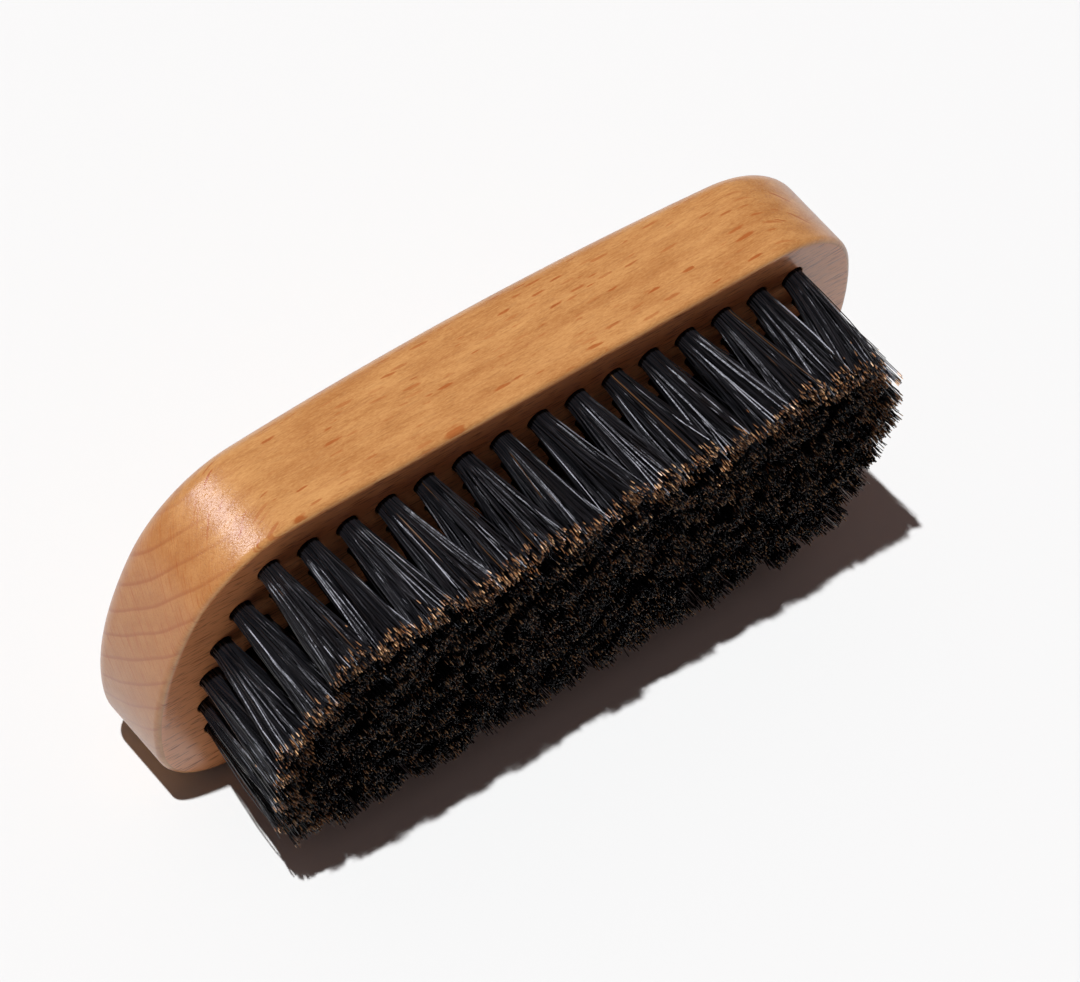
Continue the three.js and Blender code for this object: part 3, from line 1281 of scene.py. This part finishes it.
    def build(self, places: list[TuftPlace],
              material: bpy.types.Material) -> list[bpy.types.Object]:
        """Builds every tuft as a piece of its own.

        Args:
            places: The tufts' places.
            material: The bristles' finish.

        Returns:
            The pieces.
        """
        pieces = []
        for number, place in enumerate(places):
            rng = np.random.default_rng((SEED, number))
            lines = self.lines(place, rng)
            # Each kind of tuft takes its own third of the columns, whose gold carries the
            # painted light and shade of the tips.
            share = (self.maker.columns - 1) // len(Kind)
            columns = rng.integers(0, share, self.bristles) + share * place.kind.value
            columns[rng.random(self.bristles) < self.brown_share] = self.maker.columns - 1
            spin = rng.uniform(0, 2 * np.pi, self.bristles)
            girth = rng.uniform(*self.girths, self.bristles)
            mesh = self.maker.mesh(place.name, self.brush, lines, self.along(), columns,
                                   spin, girth)
            pieces.append(new_piece(place.name, mesh, material, (place.node,)))
        log.info("tufts: %d pieces of %d bristles", len(pieces), self.bristles)
        return pieces


@dataclass
class StrayBristles:
    """Loose bristles that have sprung out of line and cross between the tufts."""

    brush: BrushFrame
    maker: BristleMaker
    count: int = 46
    brown_one_in: int = 3
    lean: float = 4.2
    lean_shares: Pair = (0.5, 1.0)
    end_margin: float = 7.0
    side_margin: float = 6.0
    travel_power: float = 1.6
    bow: float = 1.3
    buried: float = 0.5
    length_shares: Pair = (0.72, 0.99)
    girths: Pair = (0.5, 0.8)
    levels: int = 8

    def build(self, places: list[TuftPlace], material: bpy.types.Material) -> bpy.types.Object:
        """Builds the strays as one piece.

        A stray starts in a tuft's hole. Its sideways travel grows with a power of the share
        along towards a lean of its own, held inside the block's outline, and a half sine
        bows it.

        Args:
            places: The tufts' places.
            material: The bristles' finish.

        Returns:
            The piece.
        """
        count = self.count
        rng = np.random.default_rng((SEED, len(places)))
        chosen = rng.choice(len(places), count, replace=False)
        homes = hole_centres(places)[chosen][:, (0, 2)]
        share = np.linspace(0, 1, self.levels)
        heading = rng.uniform(0, 2 * np.pi, count)
        lean = rng.uniform(*self.lean_shares, count) * self.lean
        aim = np.stack([np.cos(heading), np.sin(heading)], 1) * lean[:, None]
        limit = np.array([self.brush.length / 2 - self.end_margin,
                          self.brush.width / 2 - self.side_margin])
        aim = np.clip(homes + aim, -limit, limit) - homes
        bow = rng.normal(0, self.bow, (count, 2))
        length = self.brush.bristle_length * rng.uniform(*self.length_shares, count)
        travel = share**self.travel_power
        sideways = (homes[:, None] + aim[:, None] * travel[None, :, None]
                    + bow[:, None] * np.sin(np.pi * share)[None, :, None])
        depth = self.buried - (length[:, None] + self.buried) * share[None]
        lines = np.stack([sideways[..., 0], depth, sideways[..., 1]], 2)
        columns = rng.integers(0, self.maker.columns, count)
        columns[: count // self.brown_one_in] = self.maker.columns - 1
        spin = rng.uniform(0, 2 * np.pi, count)
        girth = rng.uniform(*self.girths, count)
        mesh = self.maker.mesh("stray_bristles", self.brush, lines, share, columns, spin, girth)
        piece = new_piece("stray_bristles", mesh, material)
        log.info("%s: %d bristles", piece.name, count)
        return piece


@dataclass
class Anchors:
    """The flat wire driven across the bottom of each hole, over which its tuft is folded.

    The wire is a strip whose middle is driven deeper than its ends: its centre line is a
    shallow arc across the hole, and its section is a rectangle with round corners, a
    superellipse: the height is the half height times the sine to a power, with its sign
    kept, and the thickness goes with the cosine in the same way.
    """

    brush: BrushFrame
    tufts: TuftField
    half_length: float = 1.5
    half_height: float = 0.7
    half_thickness: float = 0.19
    sag: float = 0.45
    section_power: float = 0.5
    most_turn: float = 0.5
    stations: int = 9
    corners: int = 12

    def strip(self) -> np.ndarray:
        """One anchor's points, lying along x: its rings, then the middles of its two ends.

        Returns:
            Rows of x, y, z, in brush millimetres from the middle of the hole's mouth.
        """
        share = np.linspace(-1, 1, self.stations)
        angle = round_angles(self.corners)
        section_y = np.sign(np.sin(angle)) * np.abs(np.sin(angle)) ** self.section_power
        section_z = np.sign(np.cos(angle)) * np.abs(np.cos(angle)) ** self.section_power
        middle = self.tufts.hole_depth - self.half_height - self.sag
        x = np.broadcast_to((share * self.half_length)[:, None], (self.stations, self.corners))
        y = middle + self.sag * (1 - share**2)[:, None] + self.half_height * section_y[None]
        z = np.broadcast_to(self.half_thickness * section_z[None], x.shape)
        ends = np.array([[-self.half_length, middle, 0.0], [self.half_length, middle, 0.0]])
        return np.concatenate([np.stack([x, y, z], -1).reshape(-1, 3), ends])

    def build(self, places: list[TuftPlace], material: bpy.types.Material) -> bpy.types.Object:
        """Builds the anchors as one piece, each turned about its hole by an angle of its own.

        Args:
            places: The tufts' places.
            material: The wire's finish.

        Returns:
            The piece.
        """
        count = len(places)
        one = self.strip()
        left_end, right_end = len(one) - 2, len(one) - 1
        left = np.arange(self.corners)
        right = left + (self.stations - 1) * self.corners
        quads = quads_between(self.stations, self.corners)
        caps = np.concatenate([fan(left, left_end, towards_back=False),
                               fan(right, right_end, towards_back=True)])
        rng = np.random.default_rng((SEED, 2 * count))
        turns = rng.uniform(-self.most_turn, self.most_turn, count)
        cos, sin = np.cos(turns)[:, None], np.sin(turns)[:, None]
        turned = np.stack([
            cos * one[None, :, 0] - sin * one[None, :, 2],
            np.broadcast_to(one[None, :, 1], (count, len(one))),
            sin * one[None, :, 0] + cos * one[None, :, 2],
        ], -1)
        points = (turned + hole_centres(places)[:, None]).reshape(-1, 3)
        faces = [copied(quads, count, len(one)), copied(caps, count, len(one))]
        mesh = new_mesh("wire_anchors", self.brush.place(points), faces)
        piece = new_piece("wire_anchors", mesh, material)
        log.info("%s: %d anchors", piece.name, count)
        return piece


# ---------------------------------------------------------------- the studio


@dataclass
class Studio:
    """The pale floor, the key light, the softbox, the fill, and the camera."""

    target: Triple = (0.00325, -0.00078, 0.02630)
    distance: float = 0.73246
    heading: float = 52.415
    elevation: float = 51.853
    roll: float = 16.082
    lens: float = 196.1
    sensor_width: float = 36.0
    nearest: float = 0.05
    key_travel: Triple = (0.310, -0.072, -0.948)
    key_strength: float = 4.4
    key_angle: float = 1.1
    sheen_travel: Triple = (0.300, -0.377, -0.876)
    sheen_strength: float = 1.65
    sheen_angle: float = 21.0
    sheen_tint: Triple = (0.90, 0.92, 1.03)
    fill: Color = opaque(0.112, 0.078, 0.072)
    backdrop: Color = opaque(0.956, 0.956, 0.956)
    floor_tone: Color = opaque(0.668, 0.680, 0.684)
    floor_radius: float = 4.0
    floor_sides: int = 96

    def camera(self) -> None:
        """Stands the camera at its distance from the target, turned about its own line."""
        heading, rise, roll = np.radians([self.heading, self.elevation, self.roll])
        forward = Vector((np.sin(heading) * np.cos(rise), np.cos(heading) * np.cos(rise),
                          -np.sin(rise)))
        level = forward.cross(Vector((0, 0, 1))).normalized()
        upright = level.cross(forward)
        right = level * np.cos(roll) + upright * np.sin(roll)
        up = upright * np.cos(roll) - level * np.sin(roll)
        data = bpy.data.cameras.new("camera")
        data.lens = self.lens
        data.sensor_width = self.sensor_width
        data.clip_start = self.nearest
        camera = bpy.data.objects.new("camera", data)
        turn = Matrix((right, up, -forward)).transposed().to_4x4()
        camera.matrix_world = Matrix.Translation(
            Vector(self.target) - forward * self.distance) @ turn
        bpy.context.scene.collection.objects.link(camera)
        bpy.context.scene.camera = camera

    def lights(self) -> None:
        """A hard key from above, a softbox that only shows in gloss, and a dim even fill."""
        key = self.far_light("key", self.key_travel, self.key_strength, self.key_angle)
        key.visible_glossy = False
        box = self.far_light("softbox", self.sheen_travel, self.sheen_strength,
                             self.sheen_angle)
        box.visible_diffuse = False
        box.data.color = self.sheen_tint

        world = bpy.data.worlds.new("studio")
        world.use_nodes = True
        tree = world.node_tree
        shade = tree.nodes["Background"]
        mix = tree.nodes.new("ShaderNodeMix")
        mix.data_type = "RGBA"
        rays = tree.nodes.new("ShaderNodeLightPath")
        seen, dim, bright = (mix.inputs[number] for number in COLOR_MIX_INPUTS)
        tree.links.new(rays.outputs["Is Camera Ray"], seen)
        dim.default_value = self.fill
        bright.default_value = self.backdrop
        tree.links.new(mix.outputs[COLOR_MIX_OUTPUT], shade.inputs["Color"])
        bpy.context.scene.world = world

    def far_light(self, name: str, travel: Triple, strength: float,
                  angle: float) -> bpy.types.Object:
        """Adds a far light.

        Args:
            name: Its name.
            travel: The way its light travels.
            strength: Its strength in watts per square metre.
            angle: How wide it looks, in degrees.

        Returns:
            The light's object.
        """
        data = bpy.data.lights.new(name, "SUN")
        data.energy = strength
        data.angle = np.radians(angle)
        light = bpy.data.objects.new(name, data)
        light.rotation_mode = "QUATERNION"
        light.rotation_quaternion = Vector(travel).to_track_quat("-Z", "Y")
        bpy.context.scene.collection.objects.link(light)
        return light

    def floor(self) -> None:
        """A wide pale disc at z = 0."""
        angle = round_angles(self.floor_sides)
        rim = np.stack([np.cos(angle), np.sin(angle), np.zeros_like(angle)], 1)
        graph = Graph("pale_floor")
        graph.dress(Base_Color=self.floor_tone, Roughness=0.9, Specular_IOR_Level=0.2)
        mesh = new_mesh("floor", rim * self.floor_radius, [np.arange(self.floor_sides)[None]])
        mesh.materials.append(graph.material)
        disc = bpy.data.objects.new("floor", mesh)
        bpy.context.scene.collection.objects.link(disc)

    def build(self) -> None:
        """Builds the studio round the brush."""
        self.camera()
        self.lights()
        self.floor()
        bpy.context.scene.view_settings.view_transform = "Standard"
        log.info("studio: ready")


def main() -> None:
    """Builds the brush's pieces in order, then the studio."""
    logging.basicConfig(level=logging.INFO, format="%(name)s: %(message)s")
    Studio().build()
    brush = BrushFrame.read()
    tufts = TuftField()
    places = tufts.places(brush)
    hair = BoarBristle(whole_length=brush.bristle_length + Tufts.buried)
    bristle = hair.material()
    maker = BristleMaker(columns=hair.columns)
    BeechBlock(brush, tufts).build(places, LacqueredBeech().material())
    Tufts(brush, maker).build(places, bristle)
    StrayBristles(brush, maker).build(places, bristle)
    Anchors(brush, tufts).build(places, AnchorWire().material())


if __name__ == "__main__":
    main()
